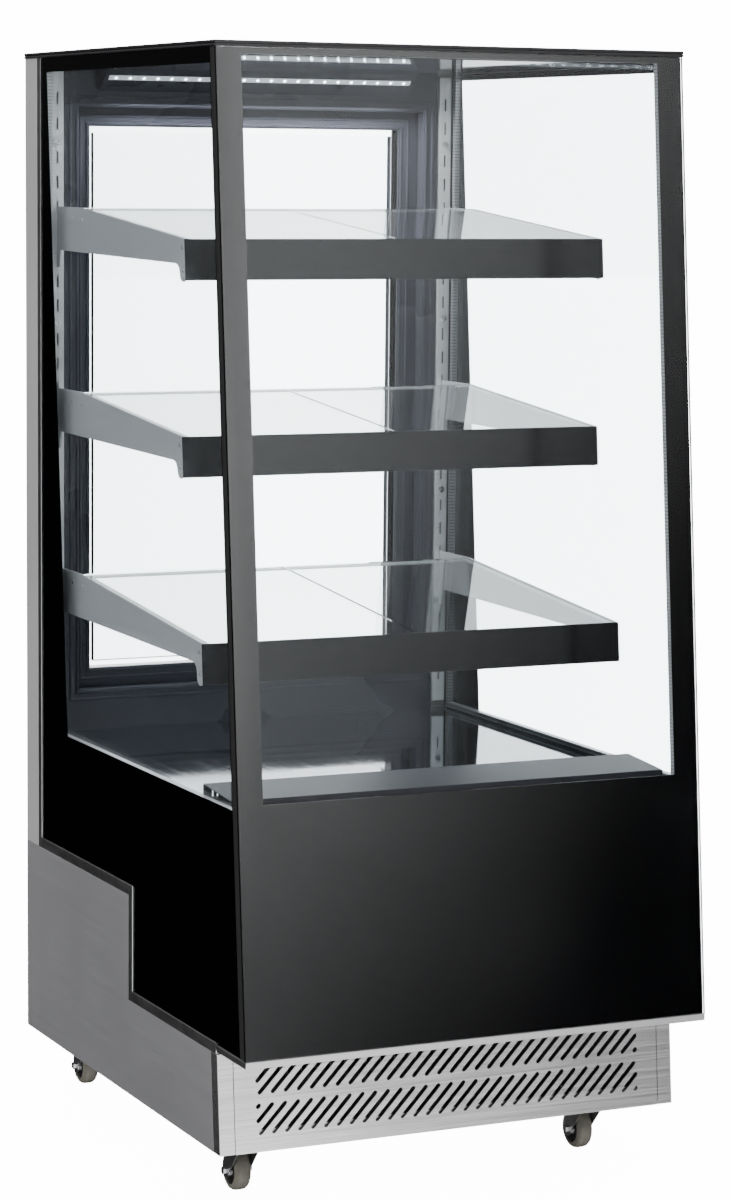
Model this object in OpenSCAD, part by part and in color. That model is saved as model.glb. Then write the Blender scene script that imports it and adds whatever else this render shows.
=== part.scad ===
// Upright bakery display case with a leaning glass front, on castors.
// Millimetres. +Z is up, the glass front faces -Y, and the origin is on the floor
// under the middle of the overall box.
// Depths are written as "d", the distance in front of the rear face.

/* [Cabinet] */
// Overall width, over the top cover
cab_w = 600; // [500:10:900]
// Overall depth, from the rear face to the foot of the front glass
cab_d = 745; // [700:5:900]
// Overall height, from the floor to the top of the cover
cab_h = 1350; // [1200:10:1600]
// Backward lean of the front glass in degrees
front_lean = 5.15; // [0:0.05:8]
// Thickness of the folded sheet metal
sheet = 1.5; // [1:0.1:2]
// Height of the underside of the base above the floor
base_z = 78; // [74:1:100]
// Height of the foot of the front glass
glass_z = 207; // [204:1:230]
// Height of the deck that goods stand on
deck_z = 478; // [440:1:520]
// Thickness of the top cover
cover_t = 7; // [4:0.5:12]
// How far the top cover stands out over the sides
cover_overhang = 1.5; // [0.5:0.5:4]
// Thickness of the ceiling panel
ceiling_t = 9; // [8:1:20]

/* [Base] */
// Top of the low front part of the base sides
low_z = 196; // [190:1:200]
// Top of the high rear part of the base sides
high_z = 327; // [310:1:350]
// Distance of the step from the rear face
step_d = 374; // [340:1:400]
// Set-back of the base front behind the glass front
base_recess = 86.5; // [70:0.5:100]
// Width of the corner pieces of the base front
corner_w = 19; // [15:0.5:25]
// Width of the trim around the side glass
trim_w = 13; // [10:0.5:16]
// Width of the rear posts, seen from behind
post_w = 36.5; // [32:0.5:45]
// Depth of the rear posts, seen from the side
post_d = 45; // [42:0.5:55]
// Height of the stainless strip under the front glass
sill_h = 8; // [5:0.5:8]

/* [Grille] */
// Height of one row of slanted slots
slot_row_h = 36.7; // [30:0.1:40]
// Width of one slot
slot_w = 5.2; // [3:0.1:6]
// Spacing of the slots along a row
slot_pitch = 16.5; // [14:0.1:20]
// Distance of the slotted field from the outer faces of the sides
slot_field_in = 46.5; // [40:0.5:120]
// Middle heights of the two rows
slot_row_z = [116.2, 163]; // [100:1:170]

/* [Glazing] */
// Thickness of the outer panes
pane_out = 5; // [4:0.5:6]
// Thickness of the inner panes
pane_in = 4; // [3:0.5:5]
// Air gap between the panes of the side units
side_gap = 8; // [6:0.5:10]
// Air gap between the panes of the front unit
front_gap = 9; // [6:0.5:10]
// Thickness of the printed border behind the outer panes
print_t = 0.4; // [0.3:0.1:0.6]
// Width of a spacer bar between two panes
spacer_w = 7; // [6:0.5:9]
// Width of the printed border at the sides of the front glass
front_window_in = 32; // [31.5:0.5:90]
// Bottom of the clear window in the front glass
front_window_z = 495; // [490:1:520]
// Distance of the top of the front window below the ceiling's top face
front_window_drop = 8; // [8:1:30]
// Bottom of the clear windows in the side glasses
side_window_z = 487; // [485:1:520]
// Distance of the top of the side windows below the ceiling's top face
side_window_drop = 18; // [12:1:30]
// Width of the printed border at the rear of the side glasses, at the top
side_rear_border = 71.5; // [62:0.5:90]
// Width of the printed border at the front of the side glasses
side_front_border = 10; // [8:0.5:20]

/* [Rear door] */
// Distance of the door opening from the outer faces of the sides
opening_in = 57.5; // [54.5:0.5:110]
// Bottom of the opening
opening_z0 = 531; // [520:1:560]
// Distance of the top of the opening below the ceiling's underside
opening_drop = 51; // [40:1:60]
// How far the door laps over the surround
door_lap = 17; // [12:0.5:18]
// Thickness of the door, without its gasket
door_t = 28; // [24:1:30]
// Width of the door's stiles and rails
door_frame_w = 41; // [35:1:50]
// Thickness of the door gasket
gasket_t = 8.5; // [6:0.5:10]
// Clearance between the door gasket and the surround
gasket_gap = 0.5; // [0.3:0.1:1]
// Set-in of the hinge axis from the door's edge and rear face
hinge_inset = 8; // [7:0.5:10]
// Hinge pin diameter
hinge_pin = 6; // [4:0.5:8]

/* [Shelves] */
// Spacing of the slots in the standards
standard_pitch = 31.4; // [25:0.1:35]
// Distance from one group of slots to the next
standard_group = 231; // [220:1:240]
// Height of one slot in the standards
standard_slot_h = 15.4; // [14:0.1:17]
// Width of one slot in the standards
standard_slot_w = 2.6; // [2.4:0.1:3]
// Width of the slotted standards
standard_w = 16.5; // [14:0.5:17]
// Depth of the slotted standards
standard_d = 15; // [12:0.5:16]
// Height of the lowest slot top that carries a shelf
lowest_slot_z = 670.1; // [650:0.1:700]
// Reach of the top, middle and bottom shelves from the rear face
shelf_reach = [499.7, 494.3, 557.7]; // [400:1:600]
// Depth at which the shelf glass starts
glass_start = 147; // [120:1:160]
// Forward slope of the shelves in degrees
shelf_slope = 5; // [0:0.5:8]
// Thickness of a shelf bracket
bracket_t = 2; // [1.5:0.1:2.2]
// Thickness of the shelf glass
shelf_glass_t = 5; // [4:0.5:6]
// Height of the front rail of a shelf
rail_h = 48; // [40:1:60]
// Height of a shelf bracket at its rear end
bracket_h = 55; // [45:1:65]
// Height of a bracket's hook plate
hook_plate_h = 77; // [70:1:85]

/* [Castors] */
// Wheel diameter
wheel_dia = 50; // [45:1:52]
// Wheel width
wheel_w = 21; // [16:1:24]
// Distance of the wheel axle from the swivel axis
castor_trail = 21; // [15:1:25]
// Distance of the swivel axes from the outer faces of the sides
castor_side_in = 68.5; // [48:0.5:120]
// Distance of the front swivel axes behind the foot of the front glass
castor_front_in = 168; // [150:1:260]
// Distance of the rear swivel axes from the rear face
castor_rear_d = 57; // [50:1:120]
// Side of the square castor plate
castor_plate = 58; // [54:1:70]
// Spacing of the bolt holes in the castor plate
castor_bolts = 44; // [40:1:50]
// Diameter of the bolt holes in the castor plate
castor_bolt_dia = 6.5; // [5:0.5:7]
// Diameter of the castor axle
axle_dia = 6; // [5:0.5:8]

/* [Hidden] */

$fn = 48;
eps = 1;                                     // how far a cutter runs past a face
lean = tan(front_lean);
side_x = cab_w / 2 - cover_overhang;         // outer face of the side skins
pane_x = side_x - sheet;                     // outer face of the side glasses
inner_x = pane_x - pane_out - side_gap - pane_in;   // inner face of the side glasses
well_x = pane_x - pane_out - 0.5;            // outer face of the insulated well
body_top = cab_h - cover_t;                  // underside of the top cover
ceiling_z = body_top - ceiling_t;            // underside of the ceiling
post_x = side_x - post_w;                    // inner face of the rear posts
front_window_x = side_x - front_window_in;   // half width of the clear window in the front glass
opening_x = side_x - opening_in;             // half width of the opening that the door closes
slot_field = side_x - slot_field_in;         // half width of the slotted field
castor_x = side_x - castor_side_in;
castor_d = [cab_d - castor_front_in, castor_rear_d];
panel_x = post_x - 0.5;                      // half width of what fits between the posts
front_unit = pane_out + front_gap + pane_in; // depth of the front unit
inner_z0 = deck_z + 2;                       // foot of the inner panes
rim_z = deck_z - sheet;                      // top of the well, which carries the deck
well_wall = 25;                              // insulation thickness
door_rear = 2;                               // set-in of the door's rear face
door_front = door_rear + door_t;             // d of the door's inner face
surround_rear = door_front + gasket_t + gasket_gap;
surround_front = post_d + 12;
door_x = opening_x + door_lap;               // half width of the door
door_z0 = opening_z0 - door_lap;             // foot of the door
opening_z1 = ceiling_z - opening_drop;       // top of the opening
door_z1 = opening_z1 + door_lap;             // top of the door
door_mid_z = (door_z0 + door_z1) / 2;
standard_face = post_d + standard_d;         // d of the slotted face
standard_x = inner_x - 0.5 - standard_w / 2; // middle of the standards
first_slot = 13.7;                           // first slot top below its screw
slots_per_group = 7;
shelf_x = standard_x + bracket_t / 2 + 1.1;  // half width of the front rails
castor_h = base_z;

// y of a point d in front of the rear face
function back(d) = cab_d / 2 - d;
// d of the outer face of the front glass at height z
function front_d(z) = cab_d - lean * (z - glass_z);
// d of the outer face of the base front at height z
function base_d(z) = front_d(z) - base_recess;
// top of the rear end of shelf n, counted from 1 at the top
function shelf_z(n) = lowest_slot_z + (3 - n) * standard_group + 24.4;
// drop of the shelf's top edge at distance d
function shelf_drop(d) = max(0, d - glass_start) * tan(shelf_slope);

// outline given as [d, z] points, made solid from x0 to x1
module slab(x0, x1, points) {
    translate([x0, 0, 0]) rotate([90, 0, 90]) linear_extrude(x1 - x0)
        polygon([for (p = points) [back(p[0]), p[1]]]);
}

// box from x0 to x1, from d0 to d1 and from z0 to z1
module block(x0, x1, d0, d1, z0, z1) {
    translate([x0, back(d1), z0]) cube([x1 - x0, d1 - d0, z1 - z0]);
}

// round bar along Y, from d0 to d1
module bar_y(x, z, dia, d0, d1) {
    translate([x, back(d0), z]) rotate([90, 0, 0]) cylinder(d = dia, h = d1 - d0);
}

// upright sheet that leans with the front, its outer face at d(z) - inset
module leaning(x0, x1, z0, z1, inset, depth) {
    slab(x0, x1, [
        [front_d(z0) - inset, z0], [front_d(z1) - inset, z1],
        [front_d(z1) - inset - depth, z1], [front_d(z0) - inset - depth, z0]
    ]);
}

// ---------------------------------------------------------------- base

pan_front = base_d(base_z) - 6;
pan_flange = 25;

// the castor bolts' holes through a plate from z0 to z1
module castor_holes(z0, z1) {
    for (sx = [-1, 1], d = castor_d, i = [-1, 1], j = [-1, 1])
        translate([sx * castor_x + i * castor_bolts / 2, back(d) + j * castor_bolts / 2, z0])
            cylinder(d = castor_bolt_dia, h = z1 - z0);
}

module base_pan() color("gainsboro") difference() {
    block(-side_x + sheet + 0.5, side_x - sheet - 0.5, sheet + 0.5, pan_front, base_z, base_z + pan_flange);
    block(-side_x + 2 * sheet + 0.5, side_x - 2 * sheet - 0.5, 2 * sheet + 0.5, pan_front - sheet,
        base_z + sheet, base_z + pan_flange + eps);
    castor_holes(base_z - eps, base_z + sheet + eps);
}

flange_w = 17;                               // inward flanges of the base sides

module base_side() {
    side_front = corner_w + 0.5;
    slab(side_x - sheet, side_x, [
        [0, base_z], [0, high_z], [step_d, high_z], [step_d, low_z],
        [base_d(low_z) - side_front, low_z], [base_d(base_z) - side_front, base_z]
    ]);
    block(side_x - flange_w, side_x - sheet, post_d, step_d, high_z - sheet, high_z);
    block(side_x - flange_w, side_x - sheet, step_d - sheet, step_d, low_z - sheet, high_z - sheet);
    block(side_x - flange_w, side_x - sheet, step_d, base_d(low_z) - side_front, low_z - sheet, low_z);
}

module base_side_left() color("silver") mirror([1, 0, 0]) base_side();

module base_side_right() color("silver") base_side();

module base_corners() color("silver") for (s = [0, 1]) mirror([s, 0, 0]) {
    leaning(side_x - corner_w, side_x, base_z, low_z, base_recess, sheet);
    leaning(side_x - sheet, side_x, base_z, low_z, base_recess + sheet, corner_w - sheet);
}

// one slanted slot of the row at height z, cut short at the ends of the field
module slanted_slot(x, z) {
    half = (slot_row_h - slot_w) / 2;
    edge = slot_field - slot_w / 2;
    t0 = max(-half, -edge - x);
    t1 = min(half, edge - x);
    if (t1 > t0) {
        length = (t1 - t0) * sqrt(2);
        translate([x + (t0 + t1) / 2, 0, z + (t0 + t1) / 2]) rotate([0, -45, 0]) rotate([90, 0, 0]) {
            translate([-length / 2, -slot_w / 2, -cab_d / 2]) cube([length, slot_w, cab_d]);
            for (s = [-1, 1])
                translate([s * length / 2, 0, -cab_d / 2]) cylinder(d = slot_w, h = cab_d, $fn = 16);
        }
    }
}

grille_seam = 0.8;                           // gap between the grille and the corner pieces

module front_grille() color("silver") {
    slot_count = ceil((slot_field + slot_row_h / 2) / slot_pitch);
    grille_x = side_x - corner_w - grille_seam;
    difference() {
        leaning(-grille_x, grille_x, base_z, low_z, base_recess, sheet);
        translate([0, back(base_d(low_z)), 0])
            for (z = slot_row_z, i = [-slot_count:slot_count]) slanted_slot(i * slot_pitch, z);
    }
}

louvre_rows = 12;
louvre_pitch = 15;
louvre_w = 120;

module service_panel() color("silver") difference() {
    block(-side_x + sheet + 0.3, side_x - sheet - 0.3, 0, sheet, base_z, high_z - 0.5);
    for (sx = [-1, 1], i = [0:louvre_rows - 1])
        translate([sx * (louvre_w / 2 + 20), 0, base_z + 38 + i * louvre_pitch]) {
            translate([-louvre_w / 2, back(sheet + eps), -2]) cube([louvre_w, sheet + 2 * eps, 4]);
            for (s = [-1, 1]) translate([s * louvre_w / 2, back(-eps), 0]) rotate([90, 0, 0])
                cylinder(d = 4, h = sheet + 2 * eps, $fn = 16);
        }
    bar_y(gland_x, gland_z, gland_dia, -eps, sheet + eps);
}

// ---------------------------------------------------------------- rear

control_w = 140;
control_x1 = panel_x - 21.5;                 // control plate, from x0 to x1
control_x0 = control_x1 - control_w;
control_z0 = high_z + 45;
control_z1 = high_z + 115;
switch_x = [control_x0 + 28, control_x0 + 68];   // power rocker, light rocker
switch_z = (control_z0 + control_z1) / 2;
switch_w = 22;
switch_h = 30;

module rear_panels() color("silver") {
    difference() {
        block(-panel_x, panel_x, 0, sheet, high_z, door_z0 - 4);
        block(control_x0 + 8, control_x1 - 8, -eps, sheet + eps, control_z0 + 8, control_z1 - 8);
    }
    block(-panel_x, panel_x, 0, surround_rear - 0.5, door_z1 + 4, body_top);
}

module rear_posts() color("lightgray") for (s = [0, 1]) mirror([s, 0, 0]) difference() {
    block(post_x, side_x, 0, post_d, high_z, body_top);
    block(post_x + sheet, side_x - sheet, sheet, post_d - sheet, high_z - eps, body_top + eps);
}

module glazing_trim() color("silver") for (s = [0, 1]) mirror([s, 0, 0]) {
    trim_end = base_d(low_z) - 3;
    slab(side_x - sheet, side_x, [
        [post_d, body_top], [post_d, high_z], [step_d, high_z], [step_d, low_z],
        [trim_end, low_z], [trim_end, low_z + trim_w], [step_d + trim_w, low_z + trim_w],
        [step_d + trim_w, high_z + trim_w], [post_d + trim_w, high_z + trim_w], [post_d + trim_w, body_top]
    ]);
    slab(well_x + 0.5, side_x - sheet, [
        [post_d, body_top], [post_d, high_z], [step_d, high_z], [step_d, low_z], [trim_end, low_z],
        [trim_end, low_z + sheet], [step_d + sheet, low_z + sheet], [step_d + sheet, high_z + sheet],
        [post_d + sheet, high_z + sheet], [post_d + sheet, body_top]
    ]);
}

module front_sill() color("silver") {
    sill_z0 = glass_z - sill_h;
    difference() {
        block(-side_x, side_x, base_d(sill_z0) - 1, cab_d, sill_z0, glass_z);
        block(-side_x + sheet, side_x - sheet, base_d(sill_z0) - 1 - eps, cab_d - sheet,
            sill_z0 + sheet, glass_z + eps);
        block(-side_x - eps, side_x + eps, 0, base_d(low_z) + 1, sill_z0 - eps, glass_z + eps);
    }
}

// ---------------------------------------------------------------- top

module top_cover() color("black") difference() {
    cover_body();
    block(-side_x + sheet, side_x - sheet, cover_overhang + sheet, front_d(body_top) - 2 * sheet,
        body_top - eps, cab_h - sheet);
}

module cover_body() {
    groove_z = body_top + 2.8;
    groove_h = 0.9;
    groove_in = 1;
    front = front_d(body_top) + 1;
    block(-cab_w / 2, cab_w / 2, 0, front, body_top, groove_z);
    block(-cab_w / 2 + groove_in, cab_w / 2 - groove_in, groove_in, front - groove_in,
        groove_z, groove_z + groove_h);
    block(-cab_w / 2, cab_w / 2, 0, front, groove_z + groove_h, cab_h);
}

module ceiling_panel() color("dimgray") slab(-inner_x + 0.5, inner_x - 0.5, [
    [post_d + 0.5, ceiling_z], [post_d + 0.5, body_top],
    [front_d(body_top) - front_unit - 0.5, body_top], [front_d(ceiling_z) - front_unit - 0.5, ceiling_z]
]);

module door_surround() color("dimgray") difference() {
    block(-panel_x, panel_x, surround_rear, surround_front, rim_z, ceiling_z);
    block(-opening_x, opening_x, surround_rear - eps, surround_front + eps, opening_z0, opening_z1);
}

// ---------------------------------------------------------------- well and deck

module insulated_well() color("gray") {
    well_z0 = glass_z - sill_h + 2 * sheet;
    back_z = high_z;
    cavity_x = inner_x - well_wall;
    skin = pane_out + print_t + 0.3;
    difference() {
        slab(-well_x, well_x, [
            [post_d + 0.5, back_z], [step_d, back_z], [step_d, low_z], [base_d(low_z) - 2, low_z],
            [base_d(low_z) - 2, well_z0], [front_d(well_z0) - skin, well_z0],
            [front_d(rim_z) - skin, rim_z], [post_d + 0.5, rim_z]
        ]);
        slab(-cavity_x, cavity_x, [
            [post_d + well_wall, back_z + well_wall], [step_d + well_wall, back_z + well_wall],
            [step_d + well_wall, well_z0 + well_wall],
            [front_d(well_z0) - skin - 2 * well_wall, well_z0 + well_wall],
            [front_d(rim_z) - skin - 2 * well_wall, rim_z + eps], [post_d + well_wall, rim_z + eps]
        ]);
    }
}

riser_d = 578;                               // rear face of the air riser
riser_h = 20;                                // height of the riser above the deck
riser_x = inner_x - 0.5;

module deck_pans() color("whitesmoke") for (s = [0, 1]) mirror([s, 0, 0]) {
    block(0.3, riser_x, surround_front + 0.5, riser_d - 0.5, rim_z, deck_z);
    block(0.3, 0.3 + sheet, surround_front + 30, riser_d - 30, rim_z - 15, rim_z);
}

riser_slots = 14;

// folded sheet with a comb of air slots at each end of its rear face
module air_riser() color("gray") {
    run = 85;
    top_fall = 6;
    riser_front = front_d(deck_z) - front_unit - 1;
    difference() {
        union() {
            slab(-riser_x, riser_x, [
                [riser_d, rim_z], [riser_d, deck_z + riser_h], [riser_d + run, deck_z + riser_h - top_fall],
                [riser_d + run, deck_z + riser_h - top_fall - sheet],
                [riser_d + sheet, deck_z + riser_h - sheet], [riser_d + sheet, rim_z]
            ]);
            block(-riser_x, riser_x, riser_d + run - sheet, riser_d + run,
                rim_z, deck_z + riser_h - top_fall - sheet / 2);
            block(-riser_x, riser_x, riser_d + run, riser_front, rim_z, deck_z);
        }
        for (s = [-1, 1], i = [0:riser_slots - 1])
            block(s * (riser_x - 12 - i * 6) - 1, s * (riser_x - 12 - i * 6) + 1,
                riser_d - eps, riser_d + sheet + eps, deck_z + 4, deck_z + riser_h - 5);
    }
}

light_in = 83.5;                             // ends of the ceiling light, in from the sides

module top_light() color("white") {
    light_x = side_x - light_in;
    light_w = 34;
    light_h = 31;
    slab(-light_x, light_x, [
        [surround_front + 1, ceiling_z], [surround_front + 1 + light_w, ceiling_z],
        [surround_front + 1 + light_w, ceiling_z - 3], [surround_front + 4, ceiling_z - light_h],
        [surround_front + 1, ceiling_z - light_h]
    ]);
}

// ---------------------------------------------------------------- glazing

inner_top = body_top - 2;

module front_glass() color([0.8, 0.9, 0.92, 0.35]) {
    leaning(-side_x, side_x, glass_z, body_top, 0, pane_out);
    leaning(-inner_x + 0.5, inner_x - 0.5, inner_z0, body_top, pane_out + front_gap, pane_in);
}

side_front = front_unit + 0.5;               // side glasses end behind the front unit
side_foot = glass_z + 0.3;
under_lip = 3;                               // gap between glass edge and trim web

module side_glass() color([0.8, 0.9, 0.92, 0.35]) {
    slab(pane_x - pane_out, pane_x, [
        [post_d + under_lip, high_z + under_lip], [step_d + under_lip, high_z + under_lip],
        [step_d + under_lip, side_foot], [front_d(side_foot) - side_front, side_foot],
        [front_d(body_top) - side_front, body_top], [post_d + under_lip, body_top]
    ]);
    slab(inner_x, inner_x + pane_in, [
        [standard_face + 1, inner_z0], [front_d(inner_z0) - side_front, inner_z0],
        [front_d(inner_top) - side_front, inner_top], [standard_face + 1, inner_top]
    ]);
}

module side_glass_left() mirror([1, 0, 0]) side_glass();

module side_glass_right() side_glass();

// ring of the inner pane's outline, set in by a and b
module side_ring(x0, x1, a, b) {
    z0 = inner_z0;
    z1 = inner_top;
    difference() {
        slab(x0, x1, [
            [standard_face + 1 + a, z0 + a], [front_d(z0 + a) - side_front - a, z0 + a],
            [front_d(z1 - a) - side_front - a, z1 - a], [standard_face + 1 + a, z1 - a]
        ]);
        slab(x0 - eps, x1 + eps, [
            [standard_face + 1 + b, z0 + b], [front_d(z0 + b) - side_front - b, z0 + b],
            [front_d(z1 - b) - side_front - b, z1 - b], [standard_face + 1 + b, z1 - b]
        ]);
    }
}

front_spacer_in = inner_x - 0.5 - front_window_x - spacer_w;
seal_top = 1;                                // sealant above the top bar of the front unit

// ring between the front panes, from a to b inside their edges; its top bar sits higher
module front_ring(a, b) {
    x = inner_x - 0.5;
    depth = front_gap - print_t;
    rise = front_spacer_in - seal_top;
    difference() {
        leaning(-x + a, x - a, inner_z0 + a, body_top - max(0, a - rise), pane_out + print_t, depth);
        leaning(-x + b, x - b, inner_z0 + b, body_top - max(0, b - rise), pane_out + print_t - eps,
            depth + 2 * eps);
    }
}

module glass_spacers() color("silver") {
    for (s = [0, 1]) mirror([s, 0, 0])
        side_ring(inner_x + pane_in, pane_x - pane_out - print_t, 0.5, spacer_w);
    front_ring(front_spacer_in, front_spacer_in + spacer_w);
}

module edge_seals() color("black") {
    front_ring(0, front_spacer_in);
    for (s = [0, 1]) mirror([s, 0, 0])
        for (part = [[well_x + 0.3, glass_z + 0.3, rim_z], [inner_x, rim_z, body_top]])
            leaning(part[0], side_x - 0.5, part[1], part[2],
                pane_out + print_t, front_unit - pane_out - print_t);
}

module glass_prints() color("black") {
    difference() {
        leaning(-side_x + 0.5, side_x - 0.5, glass_z + 0.3, body_top, pane_out, print_t);
        block(-front_window_x, front_window_x, 0, cab_d, front_window_z, body_top - front_window_drop);
    }
    for (s = [0, 1]) mirror([s, 0, 0]) difference() {
        slab(pane_x - pane_out - print_t, pane_x - pane_out, [
            [post_d + under_lip, high_z + under_lip], [step_d + under_lip, high_z + under_lip],
            [step_d + under_lip, side_foot], [front_d(side_foot) - side_front, side_foot],
            [front_d(body_top) - side_front, body_top], [post_d + under_lip, body_top]
        ]);
        window_top = body_top - side_window_drop;
        rear_edge = side_rear_border;
        slab(pane_x - pane_out - print_t - eps, pane_x - pane_out + eps, [
            [rear_edge + lean * (window_top - side_window_z), side_window_z],
            [front_d(side_window_z) - side_front - side_front_border, side_window_z],
            [front_d(window_top) - side_front - side_front_border, window_top],
            [rear_edge, window_top]
        ]);
    }
}

// ---------------------------------------------------------------- shelf standards

standard_z0 = deck_z + 11;
standard_z1 = ceiling_z - 6;
top_screw_z = lowest_slot_z + 2 * standard_group + 3 * standard_pitch + first_slot;
screw_z = [for (i = [0:4]) let (z = top_screw_z - i * standard_group) if (z > standard_z0 + 10) z];
slot_tops = [for (g = [-1:4], i = [0:slots_per_group - 1])
    let (z = top_screw_z - g * standard_group - first_slot - i * standard_pitch)
    if (z < standard_z1 - 6 && z - standard_slot_h > standard_z0 + 6) z];

module pilasters() color("silver") for (s = [0, 1]) mirror([s, 0, 0]) difference() {
    block(standard_x - standard_w / 2, standard_x + standard_w / 2, post_d, standard_face,
        standard_z0, standard_z1);
    block(standard_x - standard_w / 2 + sheet, standard_x + standard_w / 2 - sheet,
        post_d - eps, standard_face - sheet, standard_z0 - eps, standard_z1 + eps);
    for (z = slot_tops)
        block(standard_x - standard_slot_w / 2, standard_x + standard_slot_w / 2,
            standard_face - sheet - eps, standard_face + eps, z - standard_slot_h, z);
    for (z = screw_z) bar_y(standard_x, z, 4.2, standard_face - sheet - eps, standard_face + eps);
}

module pilaster_screws() color("lightgray") for (sx = [-1, 1], z = screw_z) difference() {
    union() {
        bar_y(sx * standard_x, z, 4, post_d + 0.2, standard_face);
        bar_y(sx * standard_x, z, 9, standard_face, standard_face + 2);
        bar_y(sx * standard_x, z, 7, standard_face + 2, standard_face + 2.6);
    }
    block(sx * standard_x - 2.4, sx * standard_x + 2.4, standard_face + 1, standard_face + 3, z - 0.5, z + 0.5);
    block(sx * standard_x - 0.5, sx * standard_x + 0.5, standard_face + 1, standard_face + 3, z - 2.4, z + 2.4);
}

// ---------------------------------------------------------------- shelves

nose_w = 19;
nose_fall = 2;                               // nose below the foot of the rail
hook_neck = 8;
hook_drop = 6;
tie_w = 14;
lip = 10;

function rail_top(n) = shelf_z(n) - shelf_drop(shelf_reach[n - 1]);
// d of the rail's outer face at height z
function rail_d(n, z) = shelf_reach[n - 1] + lean * (rail_top(n) - z);

// points of a quarter round from angle a to b, centre c, radius r, in [d, z]
function arc(c, r, a, b) = [
    for (i = [0:6]) let (t = a + (b - a) * i / 6) [c[0] + r * cos(t), c[1] + r * sin(t)]
];

// outline of a sheet strip just under the glass of shelf n, from d0 to d1
function under_glass(n, d0, d1) = let (z = shelf_z(n) - shelf_glass_t - 0.5) [
    [d0, z - shelf_drop(d0)], [d1, z - shelf_drop(d1)],
    [d1, z - shelf_drop(d1) - sheet], [d0, z - shelf_drop(d0) - sheet]
];

// bracket hook that drops behind the standard's face at height z
module bracket_hook(z) {
    rear = standard_face + 0.4;
    behind = standard_face - sheet - 0.3;
    tip = behind - 4.2;
    slab(standard_x - bracket_t / 2, standard_x + bracket_t / 2, [
        [rear, z + 0.2], [behind, z + 0.2], [behind, z - hook_drop], [tip, z - hook_drop],
        [tip, z + hook_neck], [rear, z + hook_neck]
    ]);
}

module shelf_brackets(n) {
    zt = shelf_z(n);
    reach = shelf_reach[n - 1];
    foot = rail_top(n) - rail_h - nose_fall;
    nose_r = nose_w / 2;
    nose_d = rail_d(n, foot + nose_r) - sheet - 0.2 - nose_r;
    under = zt - bracket_h;
    under_front = under - 5;
    rear = standard_face + 0.4;
    slot_z = zt - 24.4 - standard_slot_h;
    color("darkgray") for (s = [0, 1]) mirror([s, 0, 0]) {
        slab(standard_x - bracket_t / 2, standard_x + bracket_t / 2, concat(
            [[rear, zt], [glass_start, zt]],
            [[rail_d(n, rail_top(n)) - sheet - 0.2, rail_top(n)]],
            arc([nose_d, foot + nose_r], nose_r, 0, -180),
            arc([nose_d - nose_r - 14, under_front - 14], 14, 0, 90),
            [[rear + 14, under]],
            arc([rear + 5, zt - hook_plate_h + 5], 5, 0, -90),
            [[rear, zt - hook_plate_h]]
        ));
        for (i = [0, 1]) bracket_hook(slot_z - i * standard_pitch);
        slab(standard_x - bracket_t / 2 - lip, standard_x - bracket_t / 2,
            under_glass(n, glass_start, reach - sheet - 3));
    }
    color("darkgray") slab(-standard_x + bracket_t / 2 + lip, standard_x - bracket_t / 2 - lip,
        under_glass(n, glass_start, glass_start + tie_w));
}

module shelf_glass(n) color([0.8, 0.92, 0.93, 0.35]) {
    zt = shelf_z(n);
    reach = shelf_reach[n - 1] - sheet - 1;
    for (s = [0, 1]) mirror([s, 0, 0]) slab(0.6, standard_x - bracket_t / 2 - 0.4, [
        [glass_start, zt - 0.4], [reach, zt - 0.4 - shelf_drop(reach)],
        [reach, zt - 0.4 - shelf_glass_t - shelf_drop(reach)], [glass_start, zt - 0.4 - shelf_glass_t]
    ]);
}

module shelf_rail(n) color([0.2, 0.2, 0.22]) {
    z1 = rail_top(n);
    z0 = z1 - rail_h;
    light_d = 13;
    light_h = 9;
    rail_in = standard_x - bracket_t / 2 - 0.4;
    slab(-shelf_x, shelf_x, [
        [rail_d(n, z1), z1], [rail_d(n, z0), z0], [rail_d(n, z0) - sheet, z0], [rail_d(n, z1) - sheet, z1]
    ]);
    slab(-rail_in, rail_in, [
        [rail_d(n, z0 + light_h) - sheet, z0 + light_h], [rail_d(n, z0) - sheet, z0],
        [rail_d(n, z0) - sheet - light_d, z0], [rail_d(n, z0) - sheet - light_d, z0 + light_h - 4]
    ]);
}

module shelf_1_brackets() shelf_brackets(1);
module shelf_2_brackets() shelf_brackets(2);
module shelf_3_brackets() shelf_brackets(3);
module shelf_1_glass() shelf_glass(1);
module shelf_2_glass() shelf_glass(2);
module shelf_3_glass() shelf_glass(3);
module shelf_1_rail() shelf_rail(1);
module shelf_2_rail() shelf_rail(2);
module shelf_3_rail() shelf_rail(3);

// ---------------------------------------------------------------- rear door

door_gap = 1;                                // between the hinge plates and the door
hinge_x = door_x - hinge_inset;
hinge_d = door_rear + hinge_inset;
pull_w = 26;
pull_h = 120;
pull_d = 14;

module door_frame() color([0.3, 0.3, 0.34]) difference() {
    block(-door_x, door_x, door_rear, door_front, door_z0, door_z1);
    block(-door_x + door_frame_w, door_x - door_frame_w, door_rear - eps, door_front + eps,
        door_z0 + door_frame_w, door_z1 - door_frame_w);
    block(-door_x + 8, -door_x + 8 + pull_w, door_rear - eps, door_rear + pull_d,
        door_mid_z - pull_h / 2, door_mid_z + pull_h / 2);
    for (z = [door_z0 - eps, door_z1 - 15]) translate([hinge_x, back(hinge_d), z])
        cylinder(d = hinge_pin + 0.1, h = 15 + eps);
}

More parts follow.
